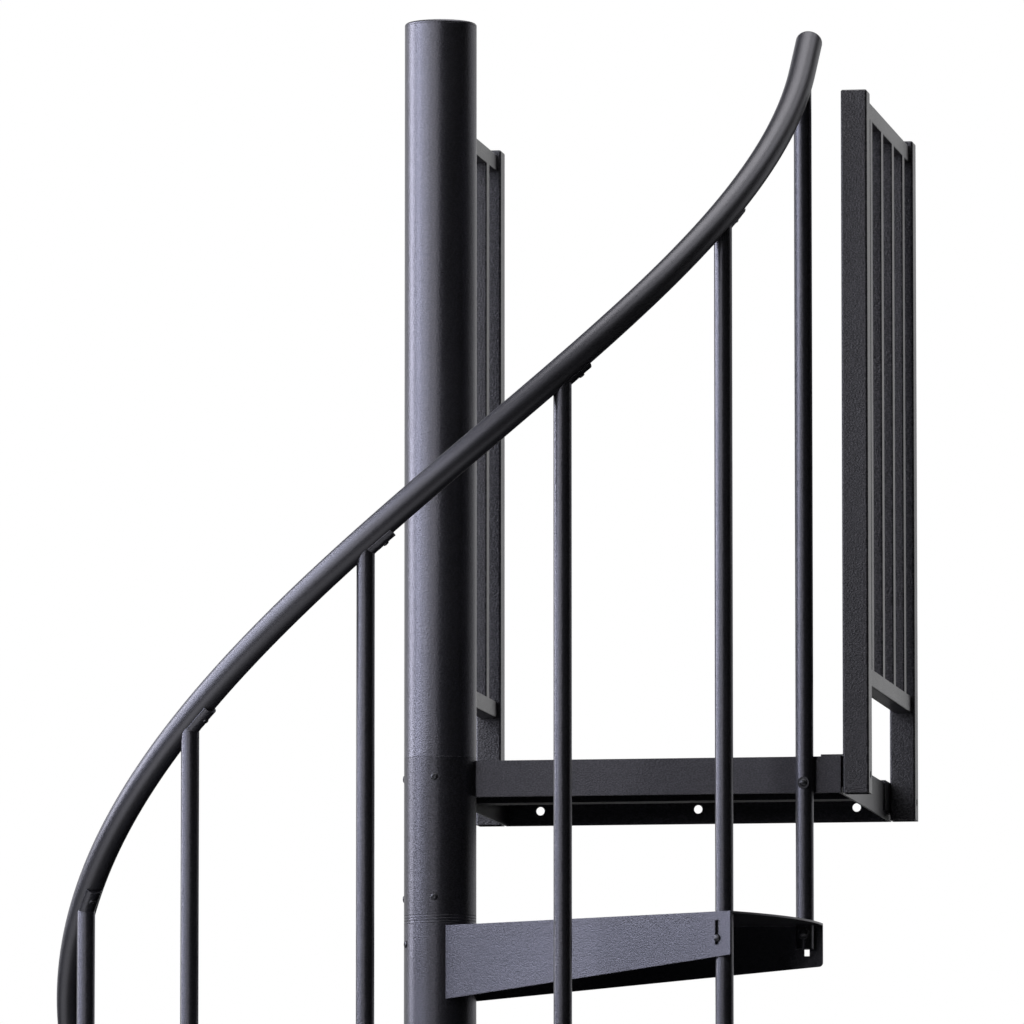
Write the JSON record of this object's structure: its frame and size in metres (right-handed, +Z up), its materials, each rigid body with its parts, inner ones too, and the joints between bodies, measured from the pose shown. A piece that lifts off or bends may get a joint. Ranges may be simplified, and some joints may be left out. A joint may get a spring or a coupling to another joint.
{
  "type": "spiral staircase with a top platform",
  "caption": "Steel spiral staircase: wedge treads turning round a centre column, round balusters, a helical handrail and a square railed top platform.",
  "frame": {"origin": "centre of the base plate's underside, on the column's axis at floor level", "axes": "+Z up along the column; +X along the platform's front edge; +Y from the column towards the landing; the stair climbs counter-clockwise seen from above"},
  "size_m": [1.1475, 1.108, 4.0797],
  "materials": {
    "treads": "fine-textured charcoal powder coat, satin",
    "balusters": "fine-textured charcoal powder coat, satin",
    "handrail": "smoother dark grey powder coat, satin",
    "rail_caps": "dark grey powder coat, satin",
    "platform": "fine-textured charcoal powder coat, satin",
    "platform_rails": "fine-textured charcoal powder coat, satin",
    "base": "fine-textured charcoal powder coat, satin",
    "column": "fine-textured charcoal powder coat, satin"
  },
  "bodies": {
    "root": {"baluster_01": "balusters", "baluster_02": "balusters", "baluster_03": "balusters", "baluster_04": "balusters", "baluster_05": "balusters", "baluster_06": "balusters", "baluster_07": "balusters", "baluster_08": "balusters", "baluster_09": "balusters", "baluster_10": "balusters", "baluster_11": "balusters", "baluster_12": "balusters", "baluster_13": "balusters", "base_plate": "base", "base_ring": "base", "center_pole": "column", "column_cap": "column", "column_sleeve": "column", "handrail": "handrail", "handrail_caps": "rail_caps", "left_rail_brackets": "platform_rails", "left_rail_far_post": "platform_rails", "left_rail_near_post": "platform_rails", "left_rail_panel": "platform_rails", "platform": "platform", "platform_stiffener": "platform", "right_rail_brackets": "platform_rails", "right_rail_far_post": "platform_rails", "right_rail_near_post": "platform_rails", "right_rail_panel": "platform_rails", "spacer_rings": "column", "tread_01": "treads", "tread_02": "treads", "tread_03": "treads", "tread_04": "treads", "tread_05": "treads", "tread_06": "treads", "tread_07": "treads", "tread_08": "treads", "tread_09": "treads", "tread_10": "treads", "tread_11": "treads", "tread_12": "treads"}
  },
  "joints": []
}
